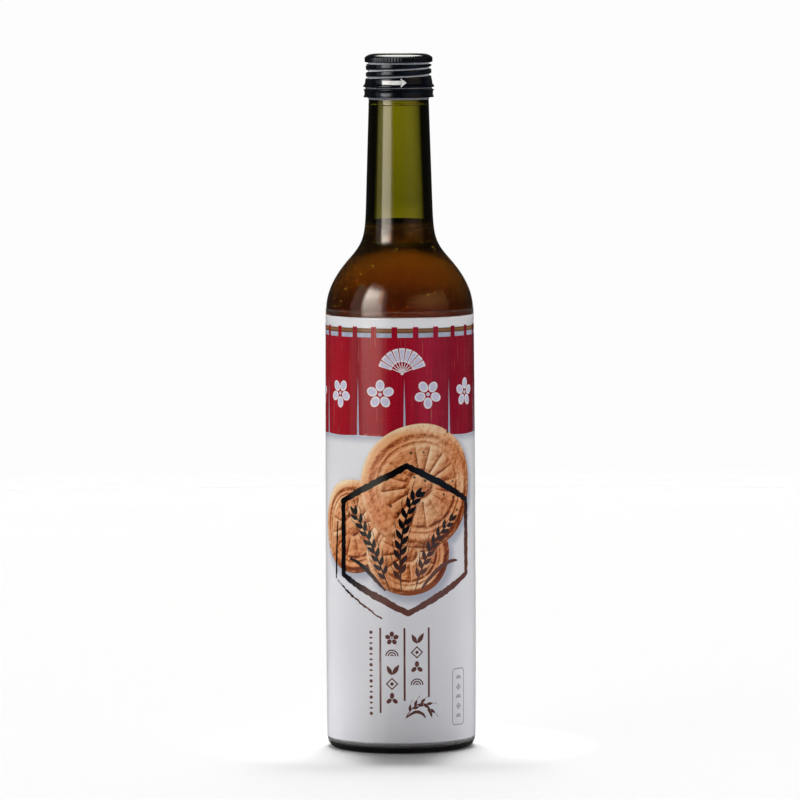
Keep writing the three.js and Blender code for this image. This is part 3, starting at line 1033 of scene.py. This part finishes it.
def make_curtain():
    half = FILM_ROUND / 2
    red = red_cloth_material()
    ink("curtain_cloth", [curtain_panel(k) for k in PANELS], CLOTH_LIFT, red)
    loops = [trapezium(FRONT_LOOP_U + FILM_ROUND / LOOP_COUNT * k, RED_TOP_Z - 0.4, LOOP_WIDTH / 2,
                       LOOP_TOP_Z, LOOP_WIDTH / 2 * 0.94) for k in range(LOOP_COUNT)]
    ink("curtain_loops", loops, LOOP_LIFT, red)
    ink("curtain_rod", [trapezium(0, ROD_FOOT_Z, half, ROD_TOP_Z, half)], ROD_LIFT, rod_material())
    pale_blue = plain_ink("printed_pale_blue", srgb(178, 184, 202))
    ink("curtain_gap", [trapezium(0, RED_TOP_Z - 0.2, half, ROD_FOOT_Z, half)], GAP_LIFT, pale_blue)
    slits = [trapezium(slit_u(k), RED_FOOT_Z + 0.2, SLIT_FOOT_WIDTH, slit_top(k), 0.1)
             for k in PANELS]
    ink("curtain_slits", slits, GAP_LIFT, pale_blue)

    crests = fan()
    fields = fan_leaves(0.52, 0.93, math.radians(3.4))
    for k in PANELS:
        place = (lerp(slit_u(k), slit_u(k + 1), 0.5), BLOSSOM_Z, BLOSSOM_R, 0.6 * (k + 1))
        crests += blossom(*place)
        fields += blossom(*place, swell=0.72)
    ink("curtain_crests", crests, CREST_LIFT, plain_ink("printed_white", (0.86, 0.86, 0.90), 0.03))
    ink("curtain_crest_fields", fields, FIELD_LIFT,
        plain_ink("printed_lilac", srgb(208, 206, 226), 0.05))
    steps = 160
    foot = [Vector((-half + FILM_ROUND * i / steps, RED_FOOT_Z - 0.35)) for i in range(steps + 1)]
    ink("curtain_foot_line", [stroke(foot, 0.42)], FOOT_LINE_LIFT,
        plain_ink("printed_foot_line", srgb(206, 212, 226)))


# ---------------------------------------------------------------- the frame, the sprigs and rules


def hexagon_frame(u, z, half_width, half_height, width, seed):
    """One closed ragged stroke, as quads so that the middle stays open."""
    middle = Vector((u, z))
    corners = [middle + Vector((half_width * math.sin(TURN * k / 6) / math.sin(TURN / 6),
                                half_height * math.cos(TURN * k / 6))) for k in range(6)]
    per_side = 30
    line = [a.lerp(b, i / per_side) for a, b in zip(corners, corners[1:] + corners[:1])
            for i in range(per_side)]
    rims = []
    for sign in (-1, 1):
        rim = []
        for p in line:
            ragged = 0.75 * uneven(p.x * 0.75, p.y * 0.75, seed + sign)
            ragged += 0.3 * uneven(p.x * 2.3, p.y * 2.3, seed - sign)
            rim.append(p + (p - middle).normalized() * (sign * (width / 2 + ragged * 0.6)))
        rims.append(rim)
    return ring_of_quads(*rims)


def ring_of_quads(inner, outer):
    """The band between two closed lines."""
    after = [(i + 1) % len(inner) for i in range(len(inner))]
    return [[inner[i], inner[j], outer[j], outer[i]] for i, j in enumerate(after)]


def waves(u, z, size):
    """A traditional wave: arcs inside each other."""
    return [arc_loop(u, z - size * 0.2, size * max(outer - 0.1, 0.03), size * outer, 0.0, math.pi, 14)
            for outer in (0.52, 0.33, 0.14)]


def diamond(u, z, size):
    """A pierced diamond: four bars round a small solid one."""
    middle = Vector((u, z))
    corners = [middle + Vector((math.sin(TURN * k / 4), math.cos(TURN * k / 4))) * size * 0.5
               for k in range(4)]
    bars = [[a, b, middle.lerp(b, 0.72), middle.lerp(a, 0.72)]
            for a, b in zip(corners, corners[1:] + corners[:1])]
    return bars + [[middle.lerp(p, 0.34) for p in corners]]


def small_motif(kind, u, z, size):
    if kind == "leaf":
        stalk = [Vector((u - size * 0.02, z - size * 0.5)), Vector((u, z - size * 0.3))]
        return [leaf((u - size * 0.04, z - size * 0.46), 2.05, size * 0.8, size * 0.34),
                leaf((u + size * 0.06, z - size * 0.46), 1.0, size * 0.95, size * 0.36),
                stroke(stalk, size * 0.1)]
    if kind == "bean":
        return [ellipse(u - size * 0.24, z - size * 0.16, size * 0.24, size * 0.16, 0.7),
                ellipse(u + size * 0.24, z - size * 0.16, size * 0.24, size * 0.16, -0.7),
                ellipse(u, z + size * 0.26, size * 0.17, size * 0.24, 0.0)]
    if kind == "wave":
        return waves(u, z, size)
    if kind == "diamond":
        return diamond(u, z, size)
    return blossom(u, z, size * 0.56)


def make_lower_print():
    dark = dark_ink_material()
    ink("print_frame", hexagon_frame(3.0, 91.2, 30.4, 31.2, 2.8, 0.3), FRAME_LIFT, dark)
    thin = []
    for a, b in (((-31.4, 98.0), (-32.6, 73.5)), ((-31.6, 73.0), (-8.0, 57.6))):
        line = [Vector(a).lerp(Vector(b), i / 40) for i in range(41)]
        thin.append(stroke(line, 0.9, 0.55, a[0], taper=True))
    thin += ear([(0.5, 68.5), (-1.5, 84.0), (0.5, 101.0), (6.5, 109.5)], 5.0, 2.35, 1.7)
    thin += ear([(6.0, 69.5), (9.5, 83.0), (15.5, 93.5), (23.5, 98.5)], 4.5, 2.2, 5.2)
    thin += ear([(-4.5, 69.0), (-9.0, 82.0), (-14.5, 94.0), (-20.5, 101.5)], 4.5, 2.2, 8.4)
    thin += [blade([(-6.5, 69.5), (-12.0, 75.5), (-17.5, 82.0), (-23.5, 82.5)], 1.8, 2.0),
             blade([(9.0, 70.5), (14.0, 77.0), (20.0, 82.5), (27.0, 81.5)], 1.8, 6.0)]
    ink("print_ears", thin, FRAME_LIFT, dark)

    rule_top, dots_u, dots_top, dot_pitch = 53.8, -13.1, 51.8, 2.3
    rules = [stroke([Vector((u, lerp(rule_top, foot, i / 8))) for i in range(9)], 0.85)
             for u, foot in ((-8.9, 17.6), (1.45, 22.8), (12.0, 24.2))]
    for u, kinds, top, pitch, size in (
            (-3.9, ("blossom", "wave", "leaf", "diamond", "bean"), 49.4, 6.45, 5.4),
            (6.75, ("leaf", "diamond", "bean", "wave"), 49.8, 6.4, 5.4)):
        for i, kind in enumerate(kinds):
            rules += small_motif(kind, u, top - pitch * i, size)
    rules += [ellipse(dots_u, dots_top - dot_pitch * i, 0.75, 0.42 + 0.34 * (i % 3 == 0))
              for i in range(16)]
    rules += ear([(1.8, 15.2), (4.0, 20.5), (9.0, 24.0), (12.0, 21.0), (12.6, 18.4)], 3.1, 1.5, 3.0)
    rules += [blade([(2.2, 15.6), (6.0, 19.5), (9.0, 18.0), (10.5, 15.4)], 1.3, 1.0)]
    ink("print_rules", rules, RULES_LIFT, plain_ink("printed_brown", srgb(104, 64, 58)))

    left, right, low, high, corner, line_width = 23.9, 31.5, 11.3, 35.5, 1.7, 0.28
    path, inner = [], []
    for u, z, start in ((right - corner, high - corner, 0), (left + corner, high - corner, 1),
                        (left + corner, low + corner, 2), (right - corner, low + corner, 3)):
        for line, radius in ((path, corner), (inner, corner - line_width)):
            line += arc((u, z), radius, start * math.pi / 2, (start + 1) * math.pi / 2, 6)
    box = ring_of_quads(inner, path)
    for i in range(5):
        box += small_motif(("wave", "diamond")[i % 2], (left + right) / 2, 31.6 - 4.1 * i, 2.9)
    ink("print_tablet", box, RULES_LIFT, plain_ink("printed_grey", srgb(120, 118, 130)))


# ---------------------------------------------------------------- the picture of griddle cakes


def cake_height(r, a, petals, radius):
    """The relief of a moulded griddle cake: a round rim, a ring of petals and a boss."""
    part = r / radius
    edge = max(0.0, 1 - part ** 6)
    rim = 1.15 * math.exp(-((part - 0.86) / 0.06) ** 2)
    ring = 0.35 * math.exp(-((part - 0.73) / 0.02) ** 2)
    lobes = abs(math.sin(a * petals / 2)) ** 0.55
    petal = 1.3 * lobes * smoothstep(part, 0.22, 0.3) * (1 - smoothstep(part, 0.62, 0.68))
    petal *= 0.75 + 0.25 * part
    boss = 1.3 * math.exp(-(part / 0.15) ** 2) - 0.4 * math.exp(-((part - 0.2) / 0.03) ** 2)
    return 2.2 * edge ** 0.5 + rim + ring + petal + boss


def cake_relief(x, y, radius, petals, seed):
    rough = 0.35 * uneven(x * 0.55, y * 0.55, seed) + 0.14 * uneven(x * 1.9, y * 1.9, seed)
    return cake_height(math.hypot(x, y), math.atan2(y, x) + seed, petals, radius) + rough


def make_cake(name, u, z, radius, petals, squash_z, lift, seed, material):
    """A picture of one cake, drawn as a fine round net. Its light is worked out from the
    relief, with the lamp at the upper left, and kept as a colour value of each point."""
    rings = int(radius / 0.36)
    spokes = 220
    points, values, toasts = [], [], []
    slope_step, flatness = 0.25, 1.25
    lamp = Vector((-0.5, 0.62, 0.6)).normalized()
    for ring in range(rings + 1):
        r = max(radius * ring / rings, 1e-3)
        for spoke in range(spokes):
            a = TURN * spoke / spokes
            x, y = r * math.cos(a), r * math.sin(a)
            wobble = 1 + 0.022 * uneven(math.cos(a) * 1.6, math.sin(a) * 1.6, seed)
            points.append(wrap(u + x * wobble, z + y * wobble * squash_z, lift))
            here, beside, above = [cake_relief(x + step_x, y + step_y, radius, petals, seed)
                                   for step_x, step_y in ((0, 0), (slope_step, 0), (0, slope_step))]
            normal = Vector(((here - beside) / slope_step, (here - above) / slope_step, flatness))
            values.append(normal.normalized().dot(lamp))
            browned = 0.5 + 0.6 * uneven(x * 0.09, y * 0.09, seed + 5)
            toasts.append(browned + 0.12 * here - 0.35 * smoothstep(r / radius, 0.9, 1.0))
    faces = []
    for ring in range(0, rings * spokes, spokes):
        for spoke in range(spokes):
            after = (spoke + 1) % spokes
            faces.append((ring + spoke, ring + spokes + spoke, ring + spokes + after, ring + after))
    mesh = mesh_from(name, points, faces)
    for label, numbers in (("light", values), ("toast", toasts)):
        field = mesh.attributes.new(label, "FLOAT", "POINT")
        field.data.foreach_set("value", numbers)
    piece = link(name, mesh, material)
    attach(piece, "root")


def cake_material():
    n = Nodes("printed_cake")
    light = n.node("Attribute", output="Fac", attribute_name="light")
    toast = n.node("Attribute", output="Fac", attribute_name="toast")
    light = (n.noise(1400, 3, 0.6) - 0.5) * 0.3 + light
    pale = n.ramp(light, [(0.12, srgb(150, 78, 40)), (0.36, srgb(214, 144, 92)),
                          (0.6, srgb(240, 186, 138)), (0.9, srgb(255, 232, 190))])
    brown = n.ramp(light, [(0.12, srgb(118, 50, 22)), (0.36, srgb(186, 98, 50)),
                           (0.6, srgb(226, 146, 92)), (0.9, srgb(246, 186, 132))])
    colour = n.mix(n.ease(toast, 0.2, 0.95), pale, brown)
    pits = n.node("TexVoronoi", {"Vector": n.position(), "Scale": 190.0}, "Distance")
    return film_shader(n, n.mix(n.span(pits, 0.09, 0.15, 0.9, 0.0), colour, srgb(60, 26, 16)))


def make_picture():
    toasted = cake_material()
    for cake in CAKES:
        make_cake(*cake, toasted)


# ================================================================ cap


def cap_rows():
    """The outside of the cap from its foot to the middle of the top, with close rows where
    the knurls, the thread and the slits need them."""
    band = [(12.85, 0.0), (12.95, 0.1), (12.95, 0.8), (13.9, 0.85), (14.7, 0.93), (14.95, 1.12),
            (14.95, 1.45), (14.63, 1.78), (14.61, 1.84), (14.6, 1.95), (14.58, 2.8), (14.58, 3.4),
            (14.75, 3.78), (15.0, 4.0), (14.96, 4.2), (14.5, 4.42), (14.15, 4.55), (14.15, 4.62),
            (14.15, 4.78), (14.15, 4.94), (14.15, 5.0), (14.35, 5.14), (14.85, 5.28),
            (15.06, 5.46), (15.12, 5.66), (15.06, 5.9), (14.8, 6.18), (14.5, 6.5), (14.36, 6.85),
            (14.28, 7.5), (14.22, 8.2), (14.15, 8.6)]
    rows = [Vector((r, CAP_FOOT_Z + height)) for r, height in band]
    steps = 36
    rows += [Vector((THREAD_R, lerp(THREAD_FOOT_Z, THREAD_TOP_Z, i / steps)))
             for i in range(steps + 1)]
    rows += [Vector(p) for p in ((13.5, 291.08), (12.95, 291.25), (12.85, 291.45), (12.95, 291.62),
                                 (13.5, 291.76), (14.05, 291.88), (CAP_EDGE_R, KNURL_FOOT_Z))]
    edge_z = KNURL_TOP_Z - 0.2
    rows += [Vector((CAP_EDGE_R, lerp(KNURL_FOOT_Z, edge_z, i / 6))) for i in range(1, 7)]
    rows += bezier([(CAP_EDGE_R, edge_z), (CAP_EDGE_R, edge_z + 0.6),
                    (CAP_PANEL_R + 2.6, CAP_TOP_Z - 0.1), (CAP_PANEL_R, CAP_TOP_Z)], 14)[1:]
    recess = CAP_TOP_Z - 0.25
    rows += [Vector(p) for p in ((CAP_PANEL_R - 0.3, CAP_TOP_Z - 0.05),
                                 (CAP_PANEL_R - 0.6, recess + 0.06), (CAP_PANEL_R - 0.9, recess),
                                 (6, recess), (0, recess + 0.05))]
    return rows


THREAD_DEPTH, THREAD_HALF_WIDTH, THREAD_FADE = 1.1, 0.85, 0.5


def thread_depth(angle, z):
    """How deep the rolled helical groove is, for an angle from the front, + to the right."""
    if angle > math.pi:
        angle -= TURN
    depth = 0.0
    for turn in (-1, 0, 1):
        centre = THREAD_CENTRE_Z + THREAD_PITCH * (angle / TURN + turn)
        across = abs(z - centre) / THREAD_HALF_WIDTH
        if across < 1:
            depth = max(depth, THREAD_DEPTH * (0.5 + 0.5 * math.cos(math.pi * across)))
    inside = min(THREAD_TOP_Z - z, z - THREAD_FOOT_Z)
    return depth * smoothstep(inside, 0, THREAD_FADE)


def cap_radius(angle, r, z):
    if THREAD_FOOT_Z <= z <= THREAD_TOP_Z and r > 13:
        return r - thread_depth(angle, z)
    if abs(z - SLIT_Z) < SLIT_HEIGHT / 2 and r > 13:
        part = (angle / TURN * BRIDGE_COUNT) % 1
        bridge, slit_depth = 0.035, 0.5
        return r - slit_depth * smoothstep(min(part, 1 - part), bridge, bridge + 0.02)
    if KNURL_FOOT_Z <= z <= CAP_TOP_Z - 0.6 and r > CAP_EDGE_R - 1.2:
        fade = smoothstep(z, KNURL_FOOT_Z - 0.1, KNURL_FOOT_Z + 0.3)
        fade *= 1 - smoothstep(z, KNURL_TOP_Z, KNURL_TOP_Z + 1.1)
        return r + fade * KNURL_HEIGHT / 2 * math.cos(angle * KNURL_COUNT)
    return r


def cap_material():
    """Black lacquer, with painted highlights: a pale metal colour in the rolled grooves and on the
    bead's edge stands in for the light they catch.
    """
    n = Nodes("black_lacquer")
    x, y, z = n.place()
    reach = n.math("SQRT", x * x + y * y)
    turn = n.math("ARCTAN2", x, y * -1.0) / TURN
    climbed = (z - THREAD_CENTRE_Z) / THREAD_PITCH - turn
    across = (n.math("FRACT", climbed + 0.5) - 0.5) * THREAD_PITCH
    # Painted highlights: a pale metal colour in the thread's groove, in the groove under the knurls
    # and on the bead's edge stands in for the light they catch.
    thread = n.window(across, -0.28, 0.04, 0.2) * n.span(turn, -0.22, 0.0, 1.0, 0.7)
    thread = thread * n.window(z, THREAD_FOOT_Z + 0.2, THREAD_TOP_Z - 0.4, 0.3)
    painted_groove_highlight = n.math("MAXIMUM", thread, n.window(z, 291.16, 291.5, 0.13))
    painted_groove_highlight = n.math("MAXIMUM", painted_groove_highlight, n.window(z, 280.98, 281.14, 0.12) * 0.5)
    highlight_patches = n.noise(900, 3, 0.6, stretch=(1.0, 1.0, 2.0))
    painted_groove_highlight = painted_groove_highlight * n.span(highlight_patches, 0.25, 0.6, 0.55, 1.0) * (reach > 12.6)
    cloud = n.noise(400, 3)
    panel = (reach < CAP_PANEL_R) * (z > CAP_TOP_Z - 0.8)
    edge = n.span(z, KNURL_FOOT_Z - 0.3, KNURL_FOOT_Z)
    rough = n.span(cloud, 0.3, 0.7, 0.1, 0.17) + edge * -0.06 + panel * 0.3 + painted_groove_highlight * 0.2
    # Painted shade: the specular tint dims and cools the reflection on the skirt at its right.
    skirt = n.window(z, 281.3, 284.9, 0.2) * n.window(turn, 0.03, 0.14, 0.02)
    return n.surface(n.node("BsdfPrincipled", {
        "Base Color": n.mix(painted_groove_highlight, (0.0015, 0.002, 0.0045), (0.78, 0.79, 0.83)),
        "Roughness": rough, "Specular IOR Level": 0.5,
        "Specular Tint": n.mix(skirt, (0.72, 0.86, 1.0), (0.2, 0.36, 0.6)),
        "Normal": n.bump(cloud, 0.12, 0.0001)}))


def metal_material():
    n = Nodes("bare_aluminium")
    grain = n.noise(900, 2, stretch=(1.0, 1.0, 8.0))
    return n.surface(n.node("BsdfPrincipled", {
        "Base Color": n.mix(grain, (0.24, 0.235, 0.28), (0.19, 0.185, 0.225)), "Metallic": 0.25,
        "Roughness": n.span(grain, 0.3, 0.7, 0.4, 0.55)}))


def make_cap():
    rows = cap_rows()
    inner = [Vector(p) for p in ((0, 294.0), (12.3, 294.0), (12.3, 285.3), (12.8, 284.2),
                                 (12.8, CAP_FOOT_Z))]
    mesh = turned("cap_shell", inner + rows, KNURL_COUNT * 8, cap_radius)
    piece = link("cap_shell", mesh, cap_material())
    piece.data.materials.append(metal_material())
    edge_top = (CAP_FOOT_Z + 0.83) * MM
    for face in piece.data.polygons:
        if face.center.z < edge_top:
            face.material_index = 1
    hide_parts("screw_cap")
    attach(piece, "root")

    shaft_z, shaft_half, head_half, barb = 283.4, 0.86, 1.9, 0.35
    tail, neck, tip = -7.2, 1.2, 3.4
    arrow = [(tail, shaft_z - shaft_half), (neck, shaft_z - shaft_half),
             (neck - barb, shaft_z - head_half), (tip, shaft_z), (neck - barb, shaft_z + head_half),
             (neck, shaft_z + shaft_half), (tail, shaft_z + shaft_half)]
    skirt = [(p.x, p.y) for p in rows if CAP_FOOT_Z + 4.9 < p.y < CAP_FOOT_Z + 10]
    skirt_r, skirt_z = zip(*skirt)

    def skirt_radius(z):
        return float(np.interp(z, skirt_z, skirt_r))

    n = Nodes("cap_white")
    flaw = n.span(n.noise(1200, 3), 0.35, 0.6)
    white = n.surface(n.node("BsdfPrincipled", {
        "Base Color": n.mix(flaw, (0.66, 0.65, 0.62), (0.86, 0.85, 0.83)), "Roughness": 0.35}))
    lift, skirt_arc_r, steps = 0.02, 14.2, (0.25, 0.2)
    mark = print_sheet("cap_arrow", [arrow], lift, white, skirt_radius, skirt_arc_r, steps)


# ================================================================ all of it

make_camera()
make_floor()
make_world()
set_view()
make_glass()
make_drink()
make_specks()
make_sleeve()
make_curtain()
make_picture()
make_lower_print()
make_cap()
